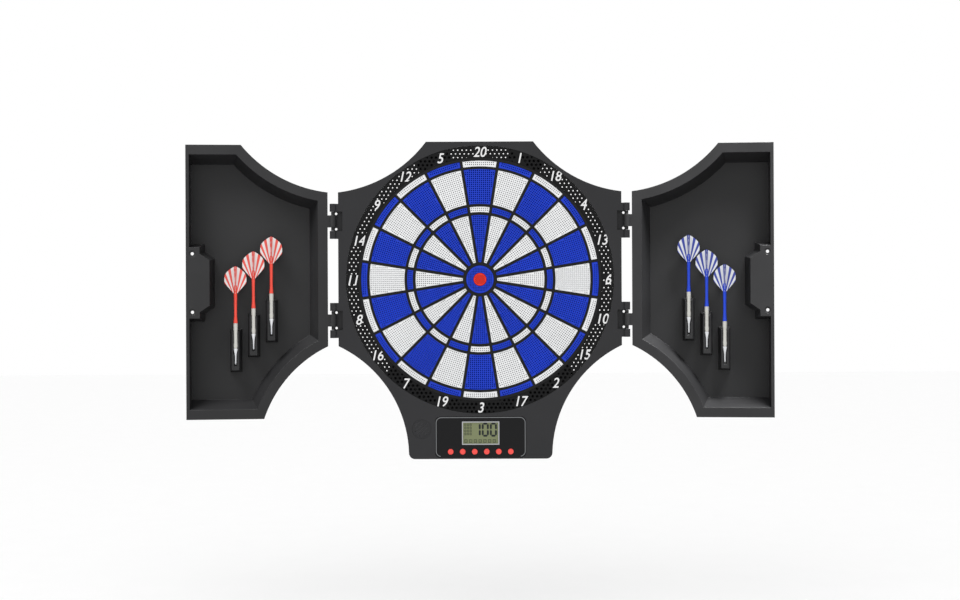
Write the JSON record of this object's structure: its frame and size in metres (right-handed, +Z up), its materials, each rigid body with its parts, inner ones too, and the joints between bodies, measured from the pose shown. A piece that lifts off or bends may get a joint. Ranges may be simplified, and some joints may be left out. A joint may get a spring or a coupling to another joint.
{
  "type": "electronic dart board cabinet",
  "caption": "Wall-hung electronic soft-tip dart board with two deep folding doors that hold darts, pressable target segments, display and push buttons.",
  "frame": {"origin": "on the wall plane, straight behind the bull", "axes": "+Z up, -Y out of the wall towards the player, +X to the player's right"},
  "size_m": [0.9734, 0.0697, 0.525],
  "materials": {
    "black_shell": "moulded black ABS, fine matt texture",
    "door_plastic": "moulded black ABS, satin",
    "panel_gloss": "gloss black overlay",
    "bezel_grey": "light grey",
    "display": "olive green liquid crystal display",
    "mat_rubber": "foam rubber",
    "film": "printed film",
    "grey_plastic": "plain board",
    "pcb_green": "solder mask",
    "ribbon": "flat cable",
    "speaker_metal": "basket and magnet",
    "cell_label": "plain sleeve",
    "contact_brass": "plated spring metal",
    "steel": "zinc plated",
    "segment_blue": "moulded blue, satin",
    "segment_white": "moulded white, satin",
    "red_plastic": "moulded red",
    "tip_plastic": "soft nylon",
    "barrel_metal": "nickel plated, knurled",
    "shaft_red": "red nylon",
    "shaft_blue": "blue nylon",
    "flight_red": "printed polyester, red and white",
    "flight_blue": "printed polyester, blue and white"
  },
  "bodies": {
    "board": {"front_housing": "black_shell", "rear_cover": "black_shell", "number_ring": "black_shell", "spider_frame": "black_shell", "impact_mat": "mat_rubber", "sensor_membrane": "film", "backing_plate": "grey_plastic", "circuit_board": "pcb_green", "ribbon_cable": "ribbon", "console_panel": "panel_gloss", "lcd_bezel": "bezel_grey", "lcd_module": "display", "speaker": "speaker_metal", "batteries": "cell_label", "battery_contacts": "contact_brass", "housing_screws": "steel", "hinge_pins": "steel"},
    "left_door": {"left_door": "door_plastic"},
    "right_door": {"right_door": "door_plastic"},
    "left_dart_1": {"left_dart_1_tip": "tip_plastic", "left_dart_1_barrel": "barrel_metal", "left_dart_1_shaft": "shaft_red", "left_dart_1_flight": "flight_red"},
    "left_dart_2": {"left_dart_2_tip": "tip_plastic", "left_dart_2_barrel": "barrel_metal", "left_dart_2_shaft": "shaft_red", "left_dart_2_flight": "flight_red"},
    "left_dart_3": {"left_dart_3_tip": "tip_plastic", "left_dart_3_barrel": "barrel_metal", "left_dart_3_shaft": "shaft_red", "left_dart_3_flight": "flight_red"},
    "right_dart_1": {"right_dart_1_tip": "tip_plastic", "right_dart_1_barrel": "barrel_metal", "right_dart_1_shaft": "shaft_blue", "right_dart_1_flight": "flight_blue"},
    "right_dart_2": {"right_dart_2_tip": "tip_plastic", "right_dart_2_barrel": "barrel_metal", "right_dart_2_shaft": "shaft_blue", "right_dart_2_flight": "flight_blue"},
    "right_dart_3": {"right_dart_3_tip": "tip_plastic", "right_dart_3_barrel": "barrel_metal", "right_dart_3_shaft": "shaft_blue", "right_dart_3_flight": "flight_blue"},
    "button_1": {"button_1": "red_plastic"},
    "button_2": {"button_2": "red_plastic"},
    "button_3": {"button_3": "red_plastic"},
    "button_4": {"button_4": "red_plastic"},
    "button_5": {"button_5": "red_plastic"},
    "button_6": {"button_6": "red_plastic"},
    "double_white": {"double_white": "segment_white"},
    "double_blue": {"double_blue": "segment_blue"},
    "outer_single_blue": {"outer_single_blue": "segment_blue"},
    "outer_single_white": {"outer_single_white": "segment_white"},
    "triple_white": {"triple_white": "segment_white"},
    "triple_blue": {"triple_blue": "segment_blue"},
    "inner_single_blue": {"inner_single_blue": "segment_blue"},
    "inner_single_white": {"inner_single_white": "segment_white"},
    "bull_outer": {"bull_outer": "segment_blue"},
    "bull_inner": {"bull_inner": "red_plastic"},
    "battery_cover": {"battery_cover": "black_shell"}
  },
  "joints": [
    {"name": "left_door_hinge", "type": "hinge", "parent": "board", "child": "left_door", "pos_m": [-0.243, -0.045, 0], "axis": [0, 0, 1], "range_deg": [0, 174]},
    {"name": "right_door_hinge", "type": "hinge", "parent": "board", "child": "right_door", "pos_m": [0.243, -0.045, 0], "axis": [0, 0, -1], "range_deg": [0, 174]},
    {"name": "left_dart_1_pull", "type": "slide", "parent": "left_door", "child": "left_dart_1", "axis": [-0.1045, 0.9945, 0], "range_m": [-0.06, 0]},
    {"name": "left_dart_2_pull", "type": "slide", "parent": "left_door", "child": "left_dart_2", "axis": [-0.1045, 0.9945, 0], "range_m": [-0.06, 0]},
    {"name": "left_dart_3_pull", "type": "slide", "parent": "left_door", "child": "left_dart_3", "axis": [-0.1045, 0.9945, 0], "range_m": [-0.06, 0]},
    {"name": "right_dart_1_pull", "type": "slide", "parent": "right_door", "child": "right_dart_1", "axis": [0.1045, 0.9945, 0], "range_m": [-0.06, 0]},
    {"name": "right_dart_2_pull", "type": "slide", "parent": "right_door", "child": "right_dart_2", "axis": [0.1045, 0.9945, 0], "range_m": [-0.06, 0]},
    {"name": "right_dart_3_pull", "type": "slide", "parent": "right_door", "child": "right_dart_3", "axis": [0.1045, 0.9945, 0], "range_m": [-0.06, 0]},
    {"name": "button_1_press", "type": "slide", "parent": "board", "child": "button_1", "axis": [0, 1, 0], "range_m": [0, 0.0012], "stiffness_N_per_m": 400},
    {"name": "button_2_press", "type": "slide", "parent": "board", "child": "button_2", "axis": [0, 1, 0], "range_m": [0, 0.0012], "stiffness_N_per_m": 400},
    {"name": "button_3_press", "type": "slide", "parent": "board", "child": "button_3", "axis": [0, 1, 0], "range_m": [0, 0.0012], "stiffness_N_per_m": 400},
    {"name": "button_4_press", "type": "slide", "parent": "board", "child": "button_4", "axis": [0, 1, 0], "range_m": [0, 0.0012], "stiffness_N_per_m": 400},
    {"name": "button_5_press", "type": "slide", "parent": "board", "child": "button_5", "axis": [0, 1, 0], "range_m": [0, 0.0012], "stiffness_N_per_m": 400},
    {"name": "button_6_press", "type": "slide", "parent": "board", "child": "button_6", "axis": [0, 1, 0], "range_m": [0, 0.0012], "stiffness_N_per_m": 400},
    {"name": "double_white_press", "type": "slide", "parent": "board", "child": "double_white", "axis": [0, 1, 0], "range_m": [0, 0.001], "stiffness_N_per_m": 2500},
    {"name": "double_blue_press", "type": "slide", "parent": "board", "child": "double_blue", "axis": [0, 1, 0], "range_m": [0, 0.001], "stiffness_N_per_m": 2500},
    {"name": "outer_single_blue_press", "type": "slide", "parent": "board", "child": "outer_single_blue", "axis": [0, 1, 0], "range_m": [0, 0.001], "stiffness_N_per_m": 2500},
    {"name": "outer_single_white_press", "type": "slide", "parent": "board", "child": "outer_single_white", "axis": [0, 1, 0], "range_m": [0, 0.001], "stiffness_N_per_m": 2500},
    {"name": "triple_white_press", "type": "slide", "parent": "board", "child": "triple_white", "axis": [0, 1, 0], "range_m": [0, 0.001], "stiffness_N_per_m": 2500},
    {"name": "triple_blue_press", "type": "slide", "parent": "board", "child": "triple_blue", "axis": [0, 1, 0], "range_m": [0, 0.001], "stiffness_N_per_m": 2500},
    {"name": "inner_single_blue_press", "type": "slide", "parent": "board", "child": "inner_single_blue", "axis": [0, 1, 0], "range_m": [0, 0.001], "stiffness_N_per_m": 2500},
    {"name": "inner_single_white_press", "type": "slide", "parent": "board", "child": "inner_single_white", "axis": [0, 1, 0], "range_m": [0, 0.001], "stiffness_N_per_m": 2500},
    {"name": "bull_outer_press", "type": "slide", "parent": "board", "child": "bull_outer", "axis": [0, 1, 0], "range_m": [0, 0.001], "stiffness_N_per_m": 2500},
    {"name": "bull_inner_press", "type": "slide", "parent": "board", "child": "bull_inner", "axis": [0, 1, 0], "range_m": [0, 0.001], "stiffness_N_per_m": 2500},
    {"name": "battery_cover_slide", "type": "slide", "parent": "board", "child": "battery_cover", "axis": [0, 0, -1], "range_m": [0, 0.06]}
  ]
}
